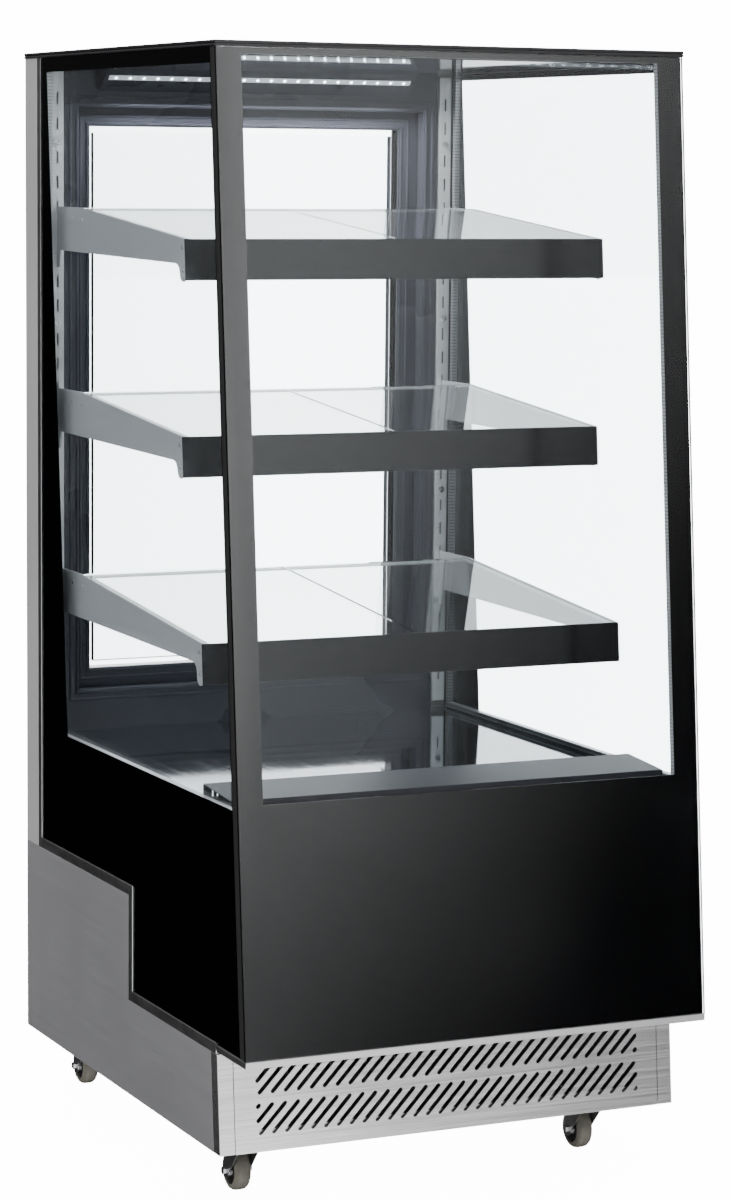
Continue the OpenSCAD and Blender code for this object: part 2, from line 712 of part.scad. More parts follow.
module door_glass() color([0.8, 0.9, 0.92, 0.35]) {
    glass_x = door_x - door_frame_w - 0.2;
    glass_z0 = door_z0 + door_frame_w + 0.2;
    glass_z1 = door_z1 - door_frame_w - 0.2;
    spacer = 8;
    block(-glass_x, glass_x, door_rear + 4, door_rear + 4 + pane_in, glass_z0, glass_z1);
    block(-glass_x, glass_x, door_front - 4 - pane_in, door_front - 4, glass_z0, glass_z1);
    difference() {
        block(-glass_x, glass_x, door_rear + 4 + pane_in, door_front - 4 - pane_in, glass_z0, glass_z1);
        block(-glass_x + spacer, glass_x - spacer, door_rear, door_front, glass_z0 + spacer, glass_z1 - spacer);
    }
}

module door_gasket() color([0.15, 0.15, 0.15]) difference() {
    gasket_out = 4;
    gasket_in = door_lap - 3;
    block(-door_x + gasket_out, door_x - gasket_out, door_front, door_front + gasket_t,
        door_z0 + gasket_out, door_z1 - gasket_out);
    block(-door_x + gasket_in, door_x - gasket_in, door_front - eps, door_front + gasket_t + eps,
        door_z0 + gasket_in, door_z1 - gasket_in);
}

module door_pull() color("silver") difference() {
    x0 = -door_x + 8.2;
    z0 = door_mid_z - pull_h / 2 + 0.2;
    block(x0, x0 + pull_w - 0.4, door_rear, door_rear + pull_d - 0.2, z0, z0 + pull_h - 0.4);
    block(x0 + sheet, x0 + pull_w - 0.4 - sheet, door_rear - eps, door_rear + pull_d - 0.2 - sheet,
        z0 + sheet, z0 + pull_h - 0.4 - sheet);
}

module hinge_pins() color("silver") {
    for (z = [[door_z0 - door_gap - 3, -door_gap], [door_z1 + door_gap, door_gap + 3]]) {
        block(hinge_x - 9, panel_x, sheet + 0.5, hinge_d + 9, z[0], z[0] + 3);
    }
    translate([hinge_x, back(hinge_d), door_z0 - door_gap]) cylinder(d = hinge_pin, h = door_gap + 13);
    translate([hinge_x, back(hinge_d), door_z1 - 13]) cylinder(d = hinge_pin, h = door_gap + 13);
}

// ---------------------------------------------------------------- castors

race_z = castor_h - 3 - 9;                   // underside of the swivel head
king_dia = 8;

// moves a castor part, drawn with its trail towards -Y, to its place; all four trail to the rear
module at_castor(i)
    translate([(i % 2 == 0 ? -1 : 1) * castor_x, back(castor_d[i < 2 ? 0 : 1]), 0])
        rotate([0, 0, 180]) children();

module castor_plates() color("silver") {
    difference() {
        for (sx = [-1, 1], d = castor_d) translate([sx * castor_x, back(d), castor_h - 3])
            translate([-castor_plate / 2, -castor_plate / 2, 0]) cube([castor_plate, castor_plate, 3]);
        castor_holes(castor_h - 3 - eps, castor_h + eps);
    }
    for (i = [0:3]) at_castor(i) {
        translate([0, 0, race_z - 3]) cylinder(d = king_dia, h = castor_h - 3 - race_z + 3);
        translate([0, 0, race_z - 7]) cylinder(d = 15, h = 4);
    }
}

module castor_fork(i) color("dimgray") at_castor(i) {
    leg_x = wheel_w / 2 + 1.5;
    leg_t = 2;
    axle_z = wheel_dia / 2;
    head_z = race_z;
    nut_h = 4.5;
    toe = 24;                                // how far the legs reach past the swivel axis
    heel = 16;
    leg_end = 18;
    difference() {
        union() {
            translate([0, 0, head_z]) cylinder(d = 44, h = castor_h - 3 - 0.4 - head_z);
            translate([-leg_x - leg_t, -heel, head_z - 2.5]) cube([2 * (leg_x + leg_t), heel + toe, 2.5]);
            for (sx = [-1, 1]) translate([sx > 0 ? leg_x : -leg_x - leg_t, 0, 0])
                rotate([90, 0, 90]) linear_extrude(leg_t) difference() {
                    union() {
                        polygon([
                            [toe, head_z], [-heel, head_z],
                            [-castor_trail - leg_end / 2, axle_z], [-castor_trail + leg_end / 2, axle_z]
                        ]);
                        translate([-castor_trail, axle_z]) circle(d = leg_end);
                    }
                    translate([-castor_trail, axle_z]) circle(d = axle_dia);
                }
        }
        translate([0, 0, head_z - 3]) cylinder(d = king_dia + 0.1, h = castor_h);
    }
    translate([-leg_x - leg_t - nut_h, -castor_trail, axle_z]) rotate([0, 90, 0]) {
        cylinder(d = axle_dia, h = 2 * (leg_x + leg_t + nut_h));
        cylinder(d = 10, h = nut_h, $fn = 6);
        translate([0, 0, 2 * (leg_x + leg_t) + nut_h]) cylinder(d = 10, h = nut_h, $fn = 6);
    }
}

module castor_wheel(i) color("slategray") at_castor(i)
    translate([0, -castor_trail, wheel_dia / 2]) rotate([0, 90, 0]) rotate_extrude($fn = 64) {
        bore_r = axle_dia / 2 + 0.05;
        round_r = 7;
        polygon(concat(
            [[bore_r, -wheel_w / 2 - 1], [8, -wheel_w / 2 - 1], [9, -wheel_w / 2 + 2], [17, -wheel_w / 2 + 2]],
            [for (i = [0:4]) let (t = -90 + i * 22.5)
                [wheel_dia / 2 - round_r + round_r * cos(t), -wheel_w / 2 + round_r + round_r * sin(t)]],
            [for (i = [0:4]) let (t = i * 22.5)
                [wheel_dia / 2 - round_r + round_r * cos(t), wheel_w / 2 - round_r + round_r * sin(t)]],
            [[17, wheel_w / 2 - 2], [9, wheel_w / 2 - 2], [8, wheel_w / 2 + 1], [bore_r, wheel_w / 2 + 1]]
        ));
    }

module castor_fork_fl() castor_fork(0);
module castor_fork_fr() castor_fork(1);
module castor_fork_rl() castor_fork(2);
module castor_fork_rr() castor_fork(3);
module castor_wheel_fl() castor_wheel(0);
module castor_wheel_fr() castor_wheel(1);
module castor_wheel_rl() castor_wheel(2);
module castor_wheel_rr() castor_wheel(3);

// ---------------------------------------------------------------- machinery

pan_z = base_z + sheet;
coil_d0 = 320;
coil_t = 40;
coil_x = 130;
coil_z0 = pan_z;
coil_h = 200;
fan_z = coil_z0 + coil_h / 2;
fan_dia = 170;
fan_t = 22;

// finned coil from x -half to half, its back at d0, standing at z0
module finned_coil(half, d0, depth, z0, height, fins) {
    for (i = [0:fins]) {
        x = -half + i * (2 * half - 1) / fins;
        block(x, x + 1, d0, d0 + depth, z0, z0 + height);
    }
    for (z = [z0 + 12:24:z0 + height - 8], d = [d0 + depth / 4, d0 + 3 * depth / 4])
        translate([-half, back(d), z]) rotate([0, 90, 0]) cylinder(d = 8, h = 2 * half, $fn = 24);
}

module condenser() color("darkorange") finned_coil(coil_x, coil_d0, coil_t, coil_z0, coil_h, 26);

module fan_shroud() color("dimgray") {
    difference() {
        block(-coil_x, coil_x, coil_d0 - 18 - sheet, coil_d0 - 18, pan_z, pan_z + coil_h);
        bar_y(0, fan_z, fan_dia + 10, coil_d0 - 20 - eps, coil_d0);
    }
    for (sx = [-1, 1]) block(sx > 0 ? coil_x - sheet : -coil_x, sx > 0 ? coil_x : -coil_x + sheet,
        coil_d0 - 18, coil_d0, pan_z, pan_z + coil_h);
    difference() {
        bar_y(0, fan_z, fan_dia + 10 + 2 * sheet, coil_d0 - 18 - sheet - 24, coil_d0 - 18 - sheet);
        bar_y(0, fan_z, fan_dia + 10, coil_d0 - 50, coil_d0);
    }
    motor_d = coil_d0 - 18 - sheet - 34;
    bar_y(0, fan_z, 70, motor_d - 50, motor_d);
    bar_y(0, fan_z, 6, motor_d, motor_d + 24);
    block(-15, 15, motor_d - 40, motor_d - 10, pan_z, fan_z - 30);
}

// hub with flat pitched blades round a Y axis, bored for its shaft
module axial_fan(x, z, d0, dia, depth, shaft, blades) {
    hub = dia * 0.26;
    translate([x, back(d0), z]) rotate([90, 0, 0]) difference() {
        union() {
            cylinder(d = hub, h = depth);
            for (i = [0:blades - 1]) rotate([0, 0, i * 360 / blades])
                translate([hub / 2 - 3, 0, depth / 2]) rotate([28, 0, 0])
                    translate([0, -dia * 0.14, -0.9]) cube([(dia - hub) / 2 - 1, dia * 0.28, 1.8]);
        }
        translate([0, 0, -eps]) cylinder(d = shaft + 0.1, h = depth + 2 * eps);
    }
}

module condenser_fan() color("black")
    axial_fan(0, fan_z, coil_d0 - 18 - sheet - 30, fan_dia, fan_t, 6, 5);

module compressor() color([0.1, 0.1, 0.11]) translate([-150, back(170), pan_z]) {
    shell_r = 68;
    for (sx = [-1, 1], sy = [-1, 1]) translate([sx * 62, sy * 45, 0]) cylinder(d = 22, h = 14);
    translate([-78, -60, 14]) cube([156, 120, 3]);
    translate([0, 0, 17]) rotate_extrude($fn = 64) polygon([
        [0, 0], [shell_r - 14, 0], [shell_r, 14], [shell_r, 78], [shell_r + 3, 78], [shell_r + 3, 84],
        [shell_r, 84], [shell_r, 128], [shell_r - 8, 146], [shell_r - 28, 156], [0, 160]
    ]);
    translate([shell_r - 4, -22, 70]) cube([26, 44, 50]);
}

evap_d0 = 560;
evap_z0 = glass_z - sill_h + 2 * sheet + well_wall + 12;
evap_fan_dia = 120;
evap_fan_d = 500;
evap_fan_z = evap_z0 + 70;

module evaporator() color("silver") {
    finned_coil(200, evap_d0, 80, evap_z0, 130, 30);
    difference() {
        block(-200, 200, evap_fan_d, evap_fan_d + sheet, evap_z0, evap_z0 + 140);
        bar_y(0, evap_fan_z, evap_fan_dia + 8, evap_fan_d - eps, evap_fan_d + sheet + eps);
    }
    bar_y(0, evap_fan_z, 44, evap_fan_d - 62, evap_fan_d - 32);
    bar_y(0, evap_fan_z, 6, evap_fan_d - 32, evap_fan_d - 6);
    block(-8, 8, evap_fan_d - 56, evap_fan_d - 40, evap_z0, evap_fan_z - 20);
    for (sx = [-1, 1]) block(sx > 0 ? 200 - sheet : -200, sx > 0 ? 200 : -200 + sheet,
        evap_fan_d + sheet, evap_d0, evap_z0, evap_z0 + 130);
}

module evaporator_fan() color("black")
    axial_fan(0, evap_fan_z, evap_fan_d - 28, evap_fan_dia, 18, 6, 5);

module drain_tray() color("silver") difference() {
    z0 = evap_z0 - 12;
    block(-225, 225, evap_fan_d - 80, evap_d0 + 100, z0, evap_z0);
    block(-225 + sheet, 225 - sheet, evap_fan_d - 80 + sheet, evap_d0 + 100 - sheet, z0 + sheet, z0 + 12 - eps);
    translate([0, back(evap_d0 + 40), z0 - eps]) cylinder(d = 20, h = 12);
}

// ---------------------------------------------------------------- controls

gland_x = -panel_x + 41.5;
gland_z = base_z + 60;
gland_dia = 16;
pivot_dia = 3;

// opening for the rocker at x, with clearance all round
module switch_opening(x, d0, d1) {
    half_w = switch_w / 2 + 0.5;
    half_h = switch_h / 2 + 0.5;
    block(x - half_w, x + half_w, d0, d1, switch_z - half_h, switch_z + half_h);
}

module control_panel() color("dimgray") {
    difference() {
        union() {
            block(control_x0, control_x1, sheet, sheet + 2, control_z0, control_z1);
            block(control_x0 + 8.3, control_x1 - 8.3, 0.3, sheet, control_z0 + 8.3, control_z1 - 8.3);
        }
        for (x = switch_x) switch_opening(x, -eps, 5);
        block(control_x0 + 90, control_x0 + 126, -eps, 1, switch_z - 9, switch_z + 9);
    }
    difference() {
        block(control_x0 + 10, control_x1 - 10, sheet + 2, 36, control_z0 + 4, control_z1 - 4);
        for (x = switch_x) switch_opening(x, sheet, 22);
    }
    for (x = switch_x) translate([x - switch_w / 2 - 0.5, back(12), switch_z]) rotate([0, 90, 0])
        cylinder(d = pivot_dia, h = switch_w + 1, $fn = 24);
}

// rocker with two slanted faces, on a cross pivot
module rocker(x) color("black") difference() {
    slab(x - switch_w / 2, x + switch_w / 2, [
        [2.5, switch_z], [0.5, switch_z + switch_h / 2 - 2], [12, switch_z + switch_h / 2 - 3],
        [16, switch_z + 5], [16, switch_z - 5], [12, switch_z - switch_h / 2 + 3],
        [2.6, switch_z - switch_h / 2 + 2]
    ]);
    translate([x - switch_w, back(12), switch_z]) rotate([0, 90, 0])
        cylinder(d = pivot_dia + 0.1, h = 2 * switch_w, $fn = 24);
}

module power_switch() rocker(switch_x[0]);

module light_switch() rocker(switch_x[1]);

module cord_gland() color("black") {
    difference() {
        union() {
            bar_y(gland_x, gland_z, gland_dia - 0.2, sheet, 14);
            bar_y(gland_x, gland_z, 24, sheet, sheet + 3);
            bar_y(gland_x, gland_z, gland_dia - 0.2, 0.2, sheet);
        }
        bar_y(gland_x, gland_z, 8, -eps, 20);
    }
}

base_pan();
base_side_left();
base_side_right();
base_corners();
front_grille();
service_panel();
rear_panels();
glazing_trim();
front_sill();
rear_posts();
top_cover();
ceiling_panel();
door_surround();
insulated_well();
front_glass();
side_glass_left();
side_glass_right();
glass_spacers();
edge_seals();
glass_prints();
pilasters();
pilaster_screws();
deck_pans();
air_riser();
top_light();
compressor();
condenser();
fan_shroud();
evaporator();
drain_tray();
control_panel();
cord_gland();
castor_plates();
hinge_pins();
door_frame();
door_glass();
door_gasket();
door_pull();
shelf_1_brackets();
shelf_1_glass();
shelf_1_rail();
shelf_2_brackets();
shelf_2_glass();
shelf_2_rail();
shelf_3_brackets();
shelf_3_glass();
shelf_3_rail();
castor_fork_fl();
castor_fork_fr();
castor_fork_rl();
castor_fork_rr();
castor_wheel_fl();
castor_wheel_fr();
castor_wheel_rl();
castor_wheel_rr();
condenser_fan();
evaporator_fan();
power_switch();
light_switch();
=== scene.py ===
import math

import bpy
import numpy as np
from mathutils import Matrix, Vector


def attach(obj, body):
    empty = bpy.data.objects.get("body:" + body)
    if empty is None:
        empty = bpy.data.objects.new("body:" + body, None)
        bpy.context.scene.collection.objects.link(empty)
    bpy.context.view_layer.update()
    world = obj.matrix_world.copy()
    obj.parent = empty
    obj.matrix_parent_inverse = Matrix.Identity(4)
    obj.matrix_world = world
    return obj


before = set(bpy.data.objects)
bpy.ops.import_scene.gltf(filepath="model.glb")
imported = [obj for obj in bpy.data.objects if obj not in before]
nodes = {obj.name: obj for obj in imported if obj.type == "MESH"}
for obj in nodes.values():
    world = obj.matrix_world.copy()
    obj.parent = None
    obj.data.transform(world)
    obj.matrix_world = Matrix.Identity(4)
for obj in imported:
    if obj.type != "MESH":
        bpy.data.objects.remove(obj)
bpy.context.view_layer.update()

# ---------------------------------------------------------------- studio
# A long-lens camera at standing height, to the left of the glass front. The floor is one pale
# sheet, and the light is a white tent: even for matt surfaces, darker towards the rear for
# polished ones, so that black glass stays black and steel keeps its tone.

CAMERA_PLACE = Vector((-1.7706, -3.8613, 1.2140))
CAMERA_RIGHT = Vector((0.9079, -0.4191, 0.0097))
CAMERA_UP = Vector((0.0439, 0.1181, 0.9920))
CAMERA_LENS = 103.3                          # millimetres, on a sensor 36 mm high

camera_data = bpy.data.cameras.new("camera")
camera_data.lens = CAMERA_LENS
camera_data.sensor_width = 36.0
camera_data.clip_end = 100.0
camera = bpy.data.objects.new("camera", camera_data)
bpy.context.scene.collection.objects.link(camera)
turn = Matrix((CAMERA_RIGHT, CAMERA_UP, CAMERA_RIGHT.cross(CAMERA_UP))).transposed()
camera.matrix_world = Matrix.Translation(CAMERA_PLACE) @ turn.to_4x4()
bpy.context.scene.camera = camera


class Wire:
    """One output of a node. Arithmetic on it adds Math nodes."""

    def __init__(self, graph, socket):
        self.graph, self.socket = graph, socket

    def math(self, operation, *values):
        """One Math node on these values, or on this wire alone."""
        values = values or (self,)
        return self.graph.add("ShaderNodeMath", {"operation": operation}, *values).out()

    def __add__(self, other):
        return self.math("ADD", self, other)

    def __sub__(self, other):
        return self.math("SUBTRACT", self, other)

    def __rsub__(self, other):
        return self.math("SUBTRACT", other, self)

    def __mul__(self, other):
        return self.math("MULTIPLY", self, other)

    def __gt__(self, other):
        return self.math("GREATER_THAN", self, other)

    def __lt__(self, other):
        return self.math("LESS_THAN", self, other)

    def __abs__(self):
        return self.math("ABSOLUTE")

    __radd__, __rmul__ = __add__, __mul__


class Added:
    """A node that was added to a graph, with its outputs by number or name."""

    def __init__(self, graph, node):
        self.graph, self.node = graph, node

    def out(self, key=0):
        return Wire(self.graph, self.node.outputs[key])


class Graph:
    """A node tree that is written as expressions."""

    def __init__(self, tree):
        self.tree = tree
        tree.nodes.clear()

    def add(self, kind, settings=None, *values, **named):
        """Adds one node: its settings first, then its inputs' values or wires, in order or by name."""
        node = self.tree.nodes.new(kind)
        for key, value in (settings or {}).items():
            setattr(node, key, value)
        pairs = list(enumerate(values)) + [(k.replace("_", " "), v) for k, v in named.items()]
        for key, value in pairs:
            if isinstance(value, Wire):
                self.tree.links.new(value.socket, node.inputs[key])
            elif value is not None:
                node.inputs[key].default_value = value
        return Added(self, node)

    def place(self):
        """The point on the piece, in the frame's metres."""
        return self.add("ShaderNodeTexCoord").out("Object")

    def noise(self, place, scale, detail, **more):
        """Noise from 0 to 1 that repeats about scale times in a metre."""
        return self.add("ShaderNodeTexNoise", None, place, Scale=scale, Detail=detail, **more).out()

    def blend(self, factor, low, high):
        """The colour low where factor is 0, high where it is 1, and a mix between."""
        mix = self.add("ShaderNodeMix", {"data_type": "RGBA"}, factor)
        for key, colour in ((6, low), (7, high)):
            if isinstance(colour, Wire):
                self.tree.links.new(colour.socket, mix.node.inputs[key])
            else:
                mix.node.inputs[key].default_value = (*colour, 1)
        return mix.out(2)

    def relief(self, strength, distance, height):
        """Normal of a surface with bumps of height times distance, in metres."""
        bump = self.add("ShaderNodeBump", None, Strength=strength, Distance=distance, Height=height)
        return bump.out()

    def surface(self, **sockets):
        """Ends the material in one Principled shader."""
        shader = self.add("ShaderNodeBsdfPrincipled", None, **sockets).out()
        self.add("ShaderNodeOutputMaterial", None, shader)


world = bpy.data.worlds.new("tent")
bpy.context.scene.world = world
world.use_nodes = True
tent = Graph(world.node_tree)
BACKDROP_WHITE = 15.0                        # what the camera sees behind the case
FILL_WHITE = 0.9                             # what lights matt surfaces
FRONT_BOX = 2.4                              # the soft box in front, as polished surfaces mirror it
SIDE_BOX = 0.9                               # the soft box on the left
RIGHT_WALL = 3.6                             # the white wall behind, on the right
NEAR_FLOOR = 8.0                             # the lit floor in front of the plinth
OVERHEAD = 0.8                               # the roof of the tent
REAR_WALL = 0.35                             # the grey wall behind
DARKNESS = 0.006                             # what is left where no light stands
BOX_LEAN = 0.4                               # the front box's right edge leans over to the right


def smooth(graph, value, low, high):
    """0 at low, 1 at high, with a smooth step between. low may be the larger."""
    return graph.add("ShaderNodeMapRange", {"interpolation_type": "SMOOTHSTEP"},
                     value, low, high, 0.0, 1.0).out()


rays = tent.add("ShaderNodeLightPath")
direction = tent.add("ShaderNodeTexCoord").out("Generated")
split = tent.add("ShaderNodeSeparateXYZ", None, direction)
height = split.out(2)
heading = split.out(0).math("ARCTAN2", split.out(0), split.out(1) * -1.0)   # 0 in front, in radians


def sector(value, start, full):
    """0 at the heading start, 1 at the heading full, both in degrees."""
    return smooth(tent, value, math.radians(start), math.radians(full))


front_box = sector(heading - height * BOX_LEAN, 30.5, 20) * smooth(tent, height, -0.2, 0.1) \
    * sector(heading, 2, 16)
side_box = sector(heading, -50, -70) * sector(heading, -142, -122)
rear_wall = sector(abs(heading), 100, 125) * smooth(tent, height, -0.06, 0.3)
right_wall = sector(heading, 92, 118) * smooth(tent, height, -0.3, -0.05)
near_floor = smooth(tent, height, -0.1, -0.22) * sector(heading, -50, -15) * sector(heading, 29, 21.5)
roof = smooth(tent, height, 0.15, 0.8)
polished = front_box * FRONT_BOX + near_floor * NEAR_FLOOR + side_box * SIDE_BOX \
    + rear_wall * REAR_WALL + right_wall * RIGHT_WALL + roof * OVERHEAD + DARKNESS


def straight_view(graph):
    """1 for what the camera sees directly or through glass, with no reflection on the way."""
    path = graph.add("ShaderNodeLightPath")
    direct = path.out("Is Camera Ray") + path.out("Is Transmission Ray")
    return (direct > 0.5) * (path.out("Glossy Depth") < 0.5) * (path.out("Diffuse Depth") < 0.5)


seen = straight_view(tent)
mirrored = rays.out("Diffuse Depth") < 0.5
strength = seen * BACKDROP_WHITE + (1.0 - seen) * (mirrored * polished + (1.0 - mirrored) * FILL_WHITE)
sky = tent.add("ShaderNodeBackground", None, (1.0, 1.0, 1.0, 1), strength)
tent.add("ShaderNodeOutputWorld", None, sky.out())


def material(name):
    """A new material and its graph."""
    made = bpy.data.materials.new(name)
    made.use_nodes = True
    return made, Graph(made.node_tree)


def mesh_piece(name, points, faces, rounded=False):
    """An object at the origin from an array of points and a list of faces. rounded shades it as a
    curved surface."""
    mesh = bpy.data.meshes.new(name)
    mesh.from_pydata([tuple(p) for p in points], [], [tuple(f) for f in faces])
    mesh.update()
    if rounded:
        mesh.shade_smooth()
    made = bpy.data.objects.new(name, mesh)
    bpy.context.scene.collection.objects.link(made)
    return made


FLOOR_HALF = 30.0
SHEET_CORNERS = ((-1, -1), (1, -1), (1, 1), (-1, 1))
floor = mesh_piece("floor", [(x * FLOOR_HALF, y * FLOOR_HALF, 0) for x, y in SHEET_CORNERS],
                   [(0, 1, 2, 3)])
floor.visible_glossy = False
PAPER = (0.85, 0.85, 0.85, 1)
floor_paint, g = material("floor_paint")
paper = g.add("ShaderNodeBsdfDiffuse", None, PAPER).out()
floor_glow = straight_view(g) * (BACKDROP_WHITE - 1.0)
glow = g.add("ShaderNodeEmission", None, (1.0, 1.0, 1.0, 1), floor_glow).out()
both = g.add("ShaderNodeAddShader", None, paper, glow).out()
path = g.add("ShaderNodeLightPath")
mirror_view = (path.out("Glossy Depth") > 0.5) * (path.out("Diffuse Depth") < 0.5)
unseen = g.add("ShaderNodeBsdfTransparent").out()
cast = g.add("ShaderNodeMixShader", None, mirror_view, both, unseen).out()
g.add("ShaderNodeOutputMaterial", None, cast)
floor.data.materials.append(floor_paint)


def lamp(name, place, aim, size, watts):
    """A square soft box at place, turned to aim."""
    light = bpy.data.lights.new(name, "AREA")
    light.shape, light.size, light.energy = "SQUARE", size, watts
    made = bpy.data.objects.new(name, light)
    made.location = place
    made.rotation_euler = (Vector(aim) - Vector(place)).to_track_quat("-Z", "Y").to_euler()
    bpy.context.scene.collection.objects.link(made)
    return made


KEY_PLACE, KEY_AIM, KEY_SIZE, KEY_WATTS = (-2.6, -2.4, 2.6), (0, 0, 0.7), 1.6, 60
TOP_PLACE, TOP_AIM, TOP_SIZE, TOP_WATTS = (0.2, -0.2, 3.4), (0, 0, 0.6), 2.0, 45
key = lamp("key_box", KEY_PLACE, KEY_AIM, KEY_SIZE, KEY_WATTS)
top = lamp("top_box", TOP_PLACE, TOP_AIM, TOP_SIZE, TOP_WATTS)
for box in (key, top):
    box.visible_glossy = False

# ---------------------------------------------------------------- sheet steel
# The plinth, posts, trim and sill are folded from brushed stainless sheet. Edges are folded or
# deburred, so each has a small round that catches the light.


def dress(finish, *names):
    """Gives the finish to CAD nodes."""
    for name in names:
        nodes[name].data.materials.clear()
        nodes[name].data.materials.append(finish)


def soften(width, *names):
    """Rounds the sharp edges of CAD nodes by width, in metres, once loose triangles are merged."""
    for name in names:
        weld = nodes[name].modifiers.new("weld", "WELD")
        weld.merge_threshold = 1e-6
        round_edges = nodes[name].modifiers.new("round", "BEVEL")
        round_edges.width, round_edges.segments = width, 2
        round_edges.limit_method, round_edges.angle_limit = "ANGLE", math.radians(35)
        round_edges.harden_normals = False


def steel(name, colour, rough, grain, depth=0.25, metal=1.0):
    """Brushed steel. grain holds the pattern's scale along x, y and z: low along the brushing, high
    across it. Roughness, tone and a fine bump follow the streaks, and wide soft blotches break up
    the reflection as handled sheet does. metal below 1 gives the colour a matt part that the even
    fill lights; on the plinth sides this is painted reflection, standing in for the light the sheet
    would mirror from the rear left, where the tent is kept dark."""
    made, g = material(name)
    place = g.place()
    along = g.add("ShaderNodeMapping", None, place, Scale=grain).out()
    fine = g.noise(along, 1.0, 4.0, Roughness=0.65)
    blotch = g.noise(place, 3.5, 3.0)
    dark, light = [c * 0.8 for c in colour], [min(1, c * 1.16) for c in colour]
    g.surface(Base_Color=g.blend(fine * 0.55 + blotch * 0.45, dark, light), Metallic=metal,
              Roughness=fine * 0.16 + blotch * 0.12 + (rough - 0.14),
              Normal=g.relief(depth, 0.0002, fine))
    return made


# Painted reflection: the plinth sides are partly matt, so the even fill gives them the tone of the light
# they would mirror.
side_steel_painted_reflection = steel("side_steel_painted_reflection", (0.36, 0.36, 0.375), 0.42, (6, 6, 420), 0.25, 0.6)
post_steel = steel("post_steel", (0.62, 0.61, 0.62), 0.4, (420, 420, 5), 0.25, 0.5)
front_steel = steel("front_steel", (0.8, 0.79, 0.8), 0.18, (5, 300, 420), 0.1, 0.95)
trim_steel = steel("trim_steel", (0.37, 0.37, 0.38), 0.34, (60, 60, 60), 0.1)
dress(side_steel_painted_reflection, "base_side_left", "base_side_right")
dress(post_steel, "rear_posts", "rear_panels", "service_panel")
dress(front_steel, "front_grille", "base_corners")
dress(trim_steel, "glazing_trim", "front_sill", "door_pull")
FOLD_ROUND = 0.0006                          # radius of a folded edge
soften(FOLD_ROUND, "base_side_left", "base_side_right", "rear_posts", "base_corners",
       "glazing_trim", "front_sill")

# ---------------------------------------------------------------- black cover and frames
# The top cover is a black enamelled lid. The ceiling, the rear surround and the door frame are
# dark anthracite, smoother than paint and slightly blue.


def enamel(name, colour, rough, speck=0.02, shine=0.5):
    """Smooth coating: faint orange-peel bump by speck, and roughness that drifts over wide areas.
    shine is the specular level."""
    made, g = material(name)
    place = g.place()
    peel, drift = g.noise(place, 420.0, 2.0), g.noise(place, 5.0, 4.0)
    g.surface(Base_Color=g.blend(drift, [c * 0.85 for c in colour], [c * 1.15 for c in colour]),
              Roughness=drift * 0.12 + (rough - 0.06), Normal=g.relief(speck * 5, 0.0002, peel),
              Specular_IOR_Level=shine)
    return made


cover_black = enamel("cover_black", (0.012, 0.012, 0.014), 0.3)
ceiling_dark = enamel("ceiling_dark", (0.06, 0.06, 0.072), 0.03, 0.0)
frame_dark = enamel("frame_dark", (0.05, 0.052, 0.068), 0.28)
rail_dark = enamel("rail_dark", (0.004, 0.004, 0.005), 0.12, 0.01, 0.38)
riser_dark = enamel("riser_dark", (0.045, 0.045, 0.053), 0.42, 0.02, 0.25)
dress(cover_black, "top_cover")
dress(ceiling_dark, "ceiling_panel")
dress(frame_dark, "door_surround", "door_frame", "insulated_well")
dress(rail_dark, "shelf_1_rail", "shelf_2_rail", "shelf_3_rail")
dress(riser_dark, "air_riser")
PAINT_ROUND = 0.0008                         # radius of a painted edge
soften(PAINT_ROUND, "top_cover", "door_frame", "door_surround", "air_riser",
       "shelf_1_rail", "shelf_2_rail", "shelf_3_rail")

# ---------------------------------------------------------------- glass
# Float glass with a faint green body. Lamps pass straight through it, as they nearly do through
# real panes, and everything else is bent and mirrored. The borders are black ceramic ink fired on
# the inner face, and the edges are filled with black sealant.

COATED_INDEX = 1.2                           # index that mirrors as little as coated panes do


def glass(name, colour):
    """Clear glass whose faint dust film changes its roughness. Lamp rays pass a plain tint."""
    made, g = material(name)
    film = g.noise(g.place(), 2.5, 5.0)
    bend = g.add("ShaderNodeBsdfPrincipled", None, Base_Color=(*colour, 1),
                 Roughness=smooth(g, film, 0.55, 0.9) * 0.01, Transmission_Weight=1.0,
                 IOR=COATED_INDEX).out()
    clear = g.add("ShaderNodeBsdfTransparent", None, (*colour, 1)).out()
    lamps = g.add("ShaderNodeLightPath").out("Is Shadow Ray")
    pane = g.add("ShaderNodeMixShader", None, lamps, bend, clear).out()
    g.add("ShaderNodeOutputMaterial", None, pane)
    return made


clear_glass = glass("clear_glass", (0.895, 0.912, 0.92))
shelf_glass = glass("shelf_glass", (0.95, 0.985, 0.98))
dress(clear_glass, "front_glass", "side_glass_left", "side_glass_right", "door_glass")
dress(shelf_glass, "shelf_1_glass", "shelf_2_glass", "shelf_3_glass")

print_black = enamel("print_black", (0.0012, 0.0012, 0.0016), 0.06, 0.0, 1.0)
seal_black = enamel("seal_black", (0.004, 0.004, 0.004), 0.6, 0.05)
dress(print_black, "glass_prints")
dress(seal_black, "edge_seals")

# ---------------------------------------------------------------- inside metal
# The slotted standards and the brackets are bright zinc-plated sheet, the deck is polished
# stainless, and the machinery stands on plain galvanized sheet. Coil fins are bare aluminium.

